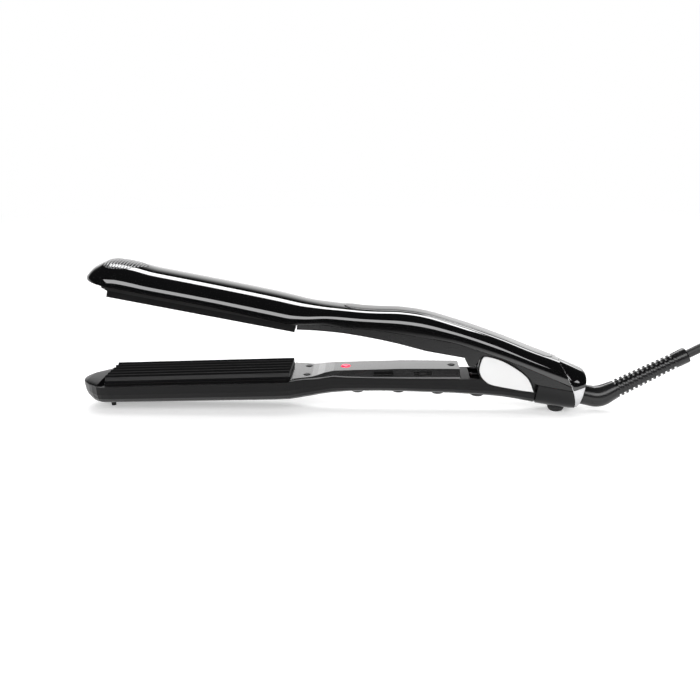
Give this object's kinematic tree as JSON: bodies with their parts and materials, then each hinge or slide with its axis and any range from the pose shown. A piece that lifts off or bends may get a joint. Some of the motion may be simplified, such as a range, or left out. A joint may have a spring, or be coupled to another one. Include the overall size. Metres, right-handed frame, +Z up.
{
  "type": "hair crimper",
  "caption": "Hinged hair crimper with ribbed heating plates in two long arms, side switches, pilot light, bent cord boot and a cord put away in a tied hank.",
  "frame": {"origin": "centre of the tool's footprint on the surface it rests on, cord left out", "axes": "+X along the tool from the nose to the cord, +Y away from the side with the switches, +Z up"},
  "size_m": [0.583, 0.054, 0.089],
  "materials": {
    "gloss_black": "polished",
    "ribbed_silver": "fine cross ribs, metallic grey",
    "satin_black": "satin",
    "panel_satin": "satin",
    "carrier_black": "matte, heat-proof",
    "heater_ceramic": "matte",
    "plate_coated": "dark ceramic coat",
    "silver_band": "silver metallic",
    "leaf_white": "pearl white",
    "lens_red": "clear red, lit",
    "button_black": "satin",
    "knob_black": "matte",
    "switch_black": "matte",
    "board_green": "lacquered board",
    "screw_steel": "plain",
    "wire_red": "smooth",
    "foot_rubber": "matte",
    "pad_rubber": "matte",
    "boot_rubber": "satin",
    "cord_black": "smooth satin",
    "tie_black": "matte",
    "plug_black": "moulded, satin",
    "pin_metal": "nickel plated"
  },
  "bodies": {
    "upper_arm": {"upper_cover": "gloss_black", "tip_inlay": "ribbed_silver", "handle_inlay": "gloss_black", "upper_frame": "satin_black", "upper_carrier": "carrier_black", "upper_heater": "heater_ceramic", "upper_plate": "plate_coated", "tip_bumper": "foot_rubber", "tail_housing": "satin_black", "tail_screw": "screw_steel", "end_cap": "gloss_black", "collar_band": "silver_band", "rear_foot": "foot_rubber", "hinge_pin": "screw_steel", "jaw_spring": "screw_steel", "swivel_socket": "switch_black", "cord_boot": "boot_rubber", "upper_wire": "wire_red", "thermal_fuse": "screw_steel", "cord_run": "cord_black", "cord_hank": "cord_black", "cord_lead": "cord_black", "hank_tie": "tie_black", "plug_body": "plug_black", "plug_pin_1": "pin_metal", "plug_pin_2": "pin_metal"},
    "lower_arm": {"lower_cover": "satin_black", "lower_frame": "panel_satin", "lower_carrier": "carrier_black", "lower_heater": "heater_ceramic", "lower_plate": "plate_coated", "leaf_plate_near": "leaf_white", "leaf_plate_far": "leaf_white", "led_lens": "lens_red", "circuit_board": "board_green", "button_switch": "switch_black", "slide_switch": "switch_black", "lower_wire": "wire_red", "rear_wire": "wire_red", "frame_screw_1": "screw_steel", "frame_screw_2": "screw_steel", "frame_screw_3": "screw_steel", "grip_pad_1": "pad_rubber", "grip_pad_2": "pad_rubber", "grip_pad_3": "pad_rubber", "grip_pad_4": "pad_rubber", "front_foot": "foot_rubber"},
    "power_button": {"power_button": "button_black"},
    "slide_knob": {"slide_knob": "knob_black"}
  },
  "joints": [
    {"name": "jaw_hinge", "type": "hinge", "parent": "upper_arm", "child": "lower_arm", "pos_m": [0.07026, 0, 0.02225], "axis": [0, 1, 0], "range_deg": [0, 12.65], "stiffness_Nm_per_rad": 2, "springref_deg": -11.46, "deforming": ["jaw_spring"]},
    {"name": "power_press", "type": "slide", "parent": "lower_arm", "child": "power_button", "axis": [0.0282, 0.6392, -0.7685], "range_m": [0, 0.0008], "stiffness_N_per_m": 1200, "springref_m": -0.0006},
    {"name": "mode_slide", "type": "slide", "parent": "lower_arm", "child": "slide_knob", "axis": [0.9993, 0, 0.0366], "range_m": [-0.0025, 0.0025]}
  ]
}
